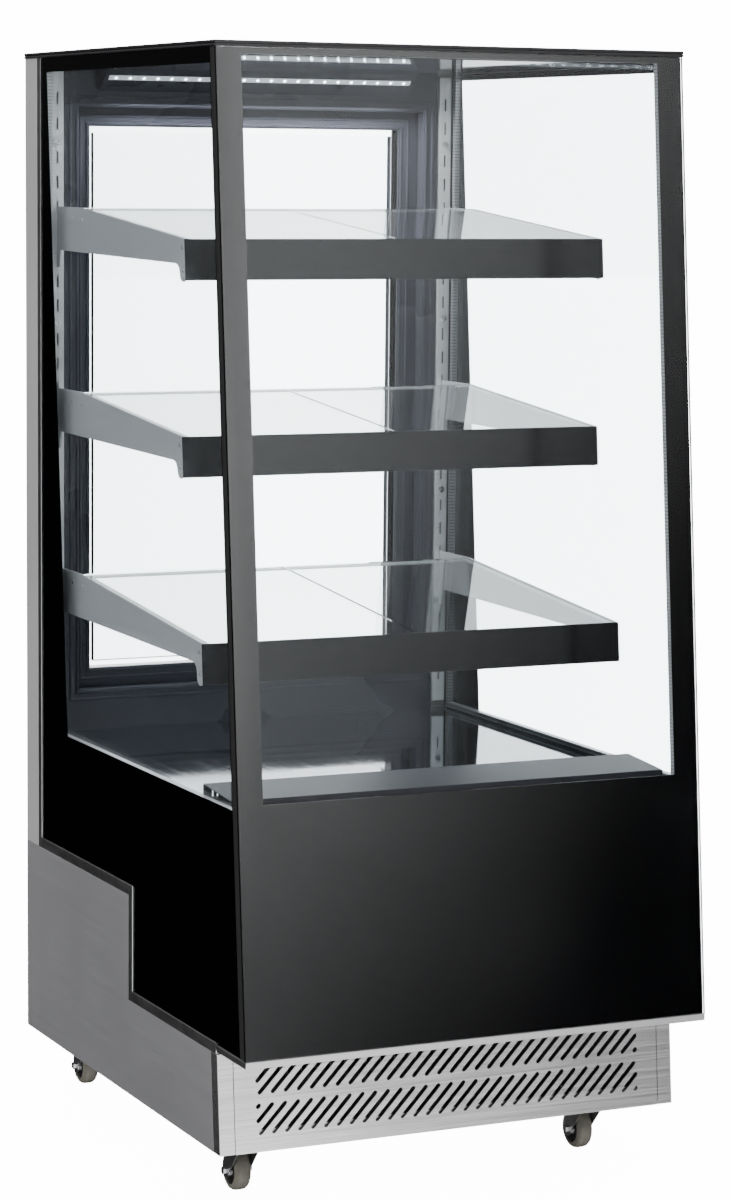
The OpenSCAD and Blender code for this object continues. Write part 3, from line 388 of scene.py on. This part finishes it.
standard_steel = steel("standard_steel", (0.86, 0.87, 0.88), 0.3, (80, 80, 200), 0.1, 0.35)
bracket_steel = steel("bracket_steel", (0.74, 0.74, 0.76), 0.42, (30, 8, 300), 0.15, 0.35)
deck_steel = steel("deck_steel", (0.74, 0.76, 0.8), 0.06, (300, 5, 5), 0.01)
screw_steel = steel("screw_steel", (0.75, 0.75, 0.75), 0.2, (200, 200, 200), 0.1)
zinc = steel("zinc", (0.3, 0.3, 0.31), 0.35, (120, 120, 120), 0.2)
dress(standard_steel, "pilasters")
dress(bracket_steel, "shelf_1_brackets", "shelf_2_brackets", "shelf_3_brackets")
dress(deck_steel, "deck_pans")
dress(screw_steel, "pilaster_screws", "hinge_pins")
fin_aluminium = steel("fin_aluminium", (0.66, 0.67, 0.69), 0.3, (500, 40, 40), 0.3)
dress(fin_aluminium, "condenser", "evaporator")
dress(zinc, "base_pan", "fan_shroud", "drain_tray", "castor_plates",
      "castor_fork_fl", "castor_fork_fr", "castor_fork_rl", "castor_fork_rr")

# ---------------------------------------------------------------- plastic and rubber
# Fans, cord gland and control panel are moulded in black nylon, the rockers are glossier, the
# compressor shell is black enamel, and the door gasket is soft extruded rubber.

nylon = enamel("nylon", (0.02, 0.02, 0.02), 0.45, 0.06)
rocker_black = enamel("rocker_black", (0.012, 0.012, 0.012), 0.2)
compressor_black = enamel("compressor_black", (0.014, 0.014, 0.015), 0.3, 0.04)
rubber = enamel("rubber", (0.022, 0.022, 0.023), 0.65, 0.1)
dress(nylon, "control_panel", "cord_gland", "condenser_fan", "evaporator_fan")
dress(rocker_black, "power_switch", "light_switch")
dress(compressor_black, "compressor")
dress(rubber, "door_gasket")

# ---------------------------------------------------------------- castor wheels
# Each wheel is an injection-moulded black centre with an olive-grey tread cast round it. The tread
# is worn and dusty where it rolls.

HUB_RADIUS = 0.0172                          # the centre ends and the tread starts
HUB_EDGE = 0.0002                            # half the width of the line between them
AXLE_HEIGHT = 0.025
FRONT_AXLE, REAR_AXLE = -0.1835, 0.3365
HUB_BLACK = (0.012, 0.012, 0.013)
TREAD_CLEAN, TREAD_DUSTY = (0.075, 0.07, 0.055), (0.26, 0.25, 0.205)
for corner, axle_y in (("fl", FRONT_AXLE), ("fr", FRONT_AXLE), ("rl", REAR_AXLE), ("rr", REAR_AXLE)):
    wheel_look, g = material("wheel_" + corner)
    place = g.place()
    part = g.add("ShaderNodeSeparateXYZ", None, place)
    along, up = part.out(1) - axle_y, part.out(2) - AXLE_HEIGHT
    radius = (along * along + up * up).math("SQRT")
    tread = smooth(g, radius, HUB_RADIUS - HUB_EDGE, HUB_RADIUS + HUB_EDGE)
    dust = g.noise(place, 90.0, 5.0, Roughness=0.7)
    g.surface(Base_Color=g.blend(tread, HUB_BLACK, g.blend(dust, TREAD_CLEAN, TREAD_DUSTY)),
              Roughness=tread * 0.25 + dust * 0.1 + 0.28, Normal=g.relief(0.2, 0.0003, dust))
    dress(wheel_look, "castor_wheel_" + corner)

# ---------------------------------------------------------------- lights in the case
# The ceiling light is a folded channel in the frame colour with a row of LED chips on its slanted
# face. Each shelf rail carries a short row behind its lower edge. A chip is a white package with a
# domed lens.


def dome(radius, height, rings=4, sides=12):
    """Grid of a dome on z = 0: at ring t from 0 to 1 the radius is radius * cos(t * 90 deg) and the
    height is height * sin(t * 90 deg). The last ring closes to a point."""
    t = np.linspace(0.0, np.pi / 2, rings)[:, None]
    a = np.linspace(0.0, 2 * np.pi, sides, endpoint=False)[None, :]
    points = np.stack([radius * np.cos(t) * np.cos(a), radius * np.cos(t) * np.sin(a),
                       height * np.sin(t) + 0 * a], axis=-1)[:-1].reshape(-1, 3)
    points = np.vstack([points, [[0.0, 0.0, height], [0.0, 0.0, 0.0]]])
    ring, side = np.meshgrid(np.arange(rings - 2), np.arange(sides), indexing="ij")
    here, after = ring * sides + side, ring * sides + (side + 1) % sides
    walls = np.stack([here, after, after + sides, here + sides], axis=-1).reshape(-1, 4).tolist()
    last = (rings - 2) * sides
    cap = [[last + i, last + (i + 1) % sides, len(points) - 2] for i in range(sides)]
    foot = [[(i + 1) % sides, i, len(points) - 1] for i in range(sides)]
    return points, walls + cap + foot


def board(length, width, thickness, edge):
    """Flat strip on z = 0, length by width, whose upper edges are drawn in by edge on every side."""
    corners = np.array([(-1, -1), (1, -1), (1, 1), (-1, 1)], dtype=float)
    rings = [(length, width, 0.0), (length, width, thickness - edge),
             (length - 2 * edge, width - 2 * edge, thickness)]
    points = np.vstack([np.column_stack([corners * (x / 2, y / 2), np.full(4, z)]) for x, y, z in rings])
    here = np.arange(8)
    after = here // 4 * 4 + (here + 1) % 4
    walls = np.stack([here, after, after + 4, here + 4], axis=-1).tolist()
    return points, walls + [[3, 2, 1, 0], [8, 9, 10, 11]]


def stamp(name, shape, places, axes, smooth_faces=True):
    """The same small shape at every place: point = place + shape point turned by axes, whose rows are
    the directions of the shape's own x, y and z."""
    points, faces = shape
    turned = points @ np.asarray(axes, dtype=float)
    everywhere = (np.asarray(places, dtype=float)[:, None, :] + turned[None, :, :]).reshape(-1, 3)
    count = len(points)
    all_faces = [[corner + i * count for corner in face] for i in range(len(places)) for face in faces]
    return mesh_piece(name, everywhere, all_faces, smooth_faces)


def finish_piece(piece, look, body):
    """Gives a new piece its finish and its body."""
    piece.data.materials.append(look)
    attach(piece, body)
    return piece


CASE_DEPTH = 0.745


def row(depth):
    """y of a depth in front of the rear face."""
    return CASE_DEPTH / 2 - depth


CHIP_LIGHT = 26.0
chip_glow, g = material("chip_glow")
g.surface(Base_Color=(0.9, 0.92, 0.95, 1), Roughness=g.noise(g.place(), 900.0, 1.0) * 0.2 + 0.1,
          Emission_Color=(0.86, 0.94, 1.0, 1), Emission_Strength=CHIP_LIGHT)

CHIP_PITCH = 0.019
CHIP_COUNT = 22
CHIP_RADIUS, CHIP_HEIGHT = 0.0024, 0.0017
TOP_LIGHT_DEPTH, TOP_LIGHT_HEIGHT = 0.0798, 1.3200   # middle of the slanted face
chip_x = (np.arange(CHIP_COUNT) - (CHIP_COUNT - 1) / 2) * CHIP_PITCH
slant = np.array([0.0, -0.670, -0.742])      # outward from the slanted face of the ceiling light
slant_axes = [(1.0, 0.0, 0.0), tuple(np.cross(slant, (1.0, 0.0, 0.0))), tuple(slant)]
chips = stamp("ceiling_light_chips", dome(CHIP_RADIUS, CHIP_HEIGHT),
              [(x, row(TOP_LIGHT_DEPTH), TOP_LIGHT_HEIGHT) for x in chip_x], slant_axes)
finish_piece(chips, chip_glow, "cabinet")
dress(frame_dark, "top_light")

BOARD_PAINTED_GLOW = 0.7                            # painted glow: the board is no lamp, but emits this itself in place of the chips' light spreading over it
board_painted_glow, g = material("board_painted_glow")
g.surface(Base_Color=(0.82, 0.84, 0.86, 1), Roughness=g.noise(g.place(), 140.0, 3.0) * 0.2 + 0.3,
          Emission_Color=(0.88, 0.94, 1.0, 1), Emission_Strength=BOARD_PAINTED_GLOW)
BOARD_WIDTH, BOARD_THICK, BOARD_EDGE = 0.008, 0.0007, 0.0002
strip_board = stamp("ceiling_light_board",
                    board(CHIP_COUNT * CHIP_PITCH, BOARD_WIDTH, BOARD_THICK, BOARD_EDGE),
                    [(0.0, row(TOP_LIGHT_DEPTH), TOP_LIGHT_HEIGHT)], slant_axes, False)
finish_piece(strip_board, board_painted_glow, "cabinet")

SHELVES = (                                  # number, top edge of the rail, reach from the rear
    (1, 1.1256, 0.4997), (2, 0.8951, 0.4943), (3, 0.6586, 0.5577))
SHELF_CHIPS = 26
BAR_AHEAD, BAR_DEPTH = 0.0043, 0.0145        # front of the light bar past the reach, and its depth
SHELF_CHIP_DROP = 0.0457                     # from the rail's top edge down to its chips
SHELF_CHIP_RADIUS, SHELF_CHIP_HEIGHT = 0.0018, 0.001
shelf_chip_x = (np.arange(SHELF_CHIPS) - (SHELF_CHIPS - 1) / 2) * CHIP_PITCH
rear_axes = [(-1.0, 0.0, 0.0), (0.0, 0.0, 1.0), (0.0, 1.0, 0.0)]
for shelf, rail_top, reach in SHELVES:
    rear_of_bar = reach + BAR_AHEAD - BAR_DEPTH
    places = [(x, row(rear_of_bar), rail_top - SHELF_CHIP_DROP) for x in shelf_chip_x]
    chips = stamp(f"shelf_{shelf}_light_chips", dome(SHELF_CHIP_RADIUS, SHELF_CHIP_HEIGHT),
                  places, rear_axes)
    finish_piece(chips, chip_glow, f"shelf_{shelf}")

STRIP_LENGTH, STRIP_WIDTH, STRIP_WATTS = 0.4, 0.02, 4.5
STRIP_PLACE, STRIP_AIM = (0.0, row(0.09), 1.297), (0.0, row(0.25), 0.7)
strip = lamp("ceiling_strip", STRIP_PLACE, STRIP_AIM, STRIP_LENGTH, STRIP_WATTS)
strip.data.shape, strip.data.size_y = "RECTANGLE", STRIP_WIDTH
strip.visible_glossy = strip.visible_camera = strip.visible_transmission = False

# ---------------------------------------------------------------- bracket screws
# Two pan-head screws hold the rail to the nose of each bracket, and two rivets near the rear hold
# the bar that ties the brackets together.

BRACKET_FACE = 0.27225                       # outer face of the brackets, from the middle
NOSE_SCREWS = ((0.0085, 0.010), (0.0065, 0.036))      # behind the reach, below the rail's top
REAR_RIVETS = ((0.118, 0.014), (0.153, 0.015))        # in front of the rear, below the shelf line
SHELF_LINE_FOOT = 0.147                      # depth where the shelf line is measured from
SHELF_SLOPE = math.tan(math.radians(5))
SCREW_RADIUS, SCREW_HEIGHT = 0.0033, 0.0016
RIVET_RADIUS, RIVET_HEIGHT = 0.0024, 0.0011
for side, name in ((-1, "left"), (1, "right")):
    outward = [(0.0, float(side), 0.0), (0.0, 0.0, 1.0), (float(side), 0.0, 0.0)]
    for shelf, rail_top, reach in SHELVES:
        x = side * BRACKET_FACE
        nose = [(x, row(reach - back), rail_top - down) for back, down in NOSE_SCREWS]
        heads = stamp(f"shelf_{shelf}_screws_{name}", dome(SCREW_RADIUS, SCREW_HEIGHT), nose, outward)
        finish_piece(heads, screw_steel, f"shelf_{shelf}")
        top = rail_top + (reach - SHELF_LINE_FOOT) * SHELF_SLOPE
        tie = [(x, row(depth), top - down) for depth, down in REAR_RIVETS]
        rivets = stamp(f"shelf_{shelf}_rivets_{name}", dome(RIVET_RADIUS, RIVET_HEIGHT), tie, outward)
        finish_piece(rivets, screw_steel, f"shelf_{shelf}")

# ---------------------------------------------------------------- spacer bars
# The panes are kept apart by hollow aluminium bars, perforated along the middle so that the drying
# beads inside can take up moisture.

HOLE_RATE = 2 * math.pi / 0.0042             # one hole every 4.2 mm
BAR_METAL, BAR_HOLE = (0.72, 0.73, 0.75), (0.42, 0.42, 0.44)
spacer_bar, g = material("spacer_bar")
place = g.place()
up = g.add("ShaderNodeSeparateXYZ", None, place).out(2)
holes = (up * HOLE_RATE).math("SINE") > 0.35
g.surface(Base_Color=g.blend(holes, BAR_METAL, BAR_HOLE), Metallic=0.7,
          Roughness=g.noise(place, 300.0, 2.0) * 0.2 + 0.3)
dress(spacer_bar, "glass_spacers")

# ---------------------------------------------------------------- frame mouldings
# The door frame and the surround are drawn aluminium profiles, mitred and crimped at the corners,
# with raised beads along their edges.

BEAD_SUNK = 0.0002                           # how far a bead's foot is let into the face


def moulding(name, half_width, low, high, depth, thickness, proud):
    """A bead round a rectangular opening: the outline (u, v) with u outward from the opening's edge and
    v forward from the face is carried round the four corners, mitred where they meet."""
    outline = np.array([(0, -BEAD_SUNK), (0, proud * 0.7), (thickness * 0.25, proud),
                        (thickness * 0.75, proud), (thickness, proud * 0.7), (thickness, -BEAD_SUNK)])
    signs = np.array([(-1, -1), (1, -1), (1, 1), (-1, 1)], dtype=float)
    middle, half_height = (low + high) / 2, (high - low) / 2
    u, v = outline[:, 0], outline[:, 1]
    x = signs[:, :1] * (half_width + u)[None, :]
    z = middle + signs[:, 1:] * (half_height + u)[None, :]
    y = np.broadcast_to(row(depth + v)[None, :], x.shape)
    points = np.stack([x, y, z], axis=-1).reshape(-1, 3)
    n = len(outline)
    corner, step = np.meshgrid(np.arange(4), np.arange(n), indexing="ij")
    here = corner * n + step
    along = ((corner + 1) % 4) * n + step
    next_here, next_along = corner * n + (step + 1) % n, ((corner + 1) % 4) * n + (step + 1) % n
    faces = np.stack([here, next_here, next_along, along], axis=-1).reshape(-1, 4)
    return mesh_piece(name, points, faces.tolist())


BEAD_WIDTH, BEAD_HEIGHT = 0.0035, 0.0018
SURROUND_FACE, DOOR_FACE = 0.057, 0.030      # depths of the two front faces
BEADS = (                                    # opening's half width, foot and head
    ("surround_inner_bead", 0.2425, 0.5295, 1.2845, SURROUND_FACE, "cabinet", "anthracite_surround"),
    ("surround_outer_bead", 0.2515, 0.5205, 1.2935, SURROUND_FACE, "cabinet", "anthracite_surround"),
    ("door_inner_bead", 0.2185, 0.5535, 1.2605, DOOR_FACE, "rear_door", "anthracite_door"),
    ("door_outer_bead", 0.2285, 0.5435, 1.2705, DOOR_FACE, "rear_door", "anthracite_door"))
for name, half_width, low, high, depth, body, slot_name in BEADS:
    bead = moulding(name, half_width, low, high, depth, BEAD_WIDTH, BEAD_HEIGHT)
    finish_piece(bead, frame_dark, body)
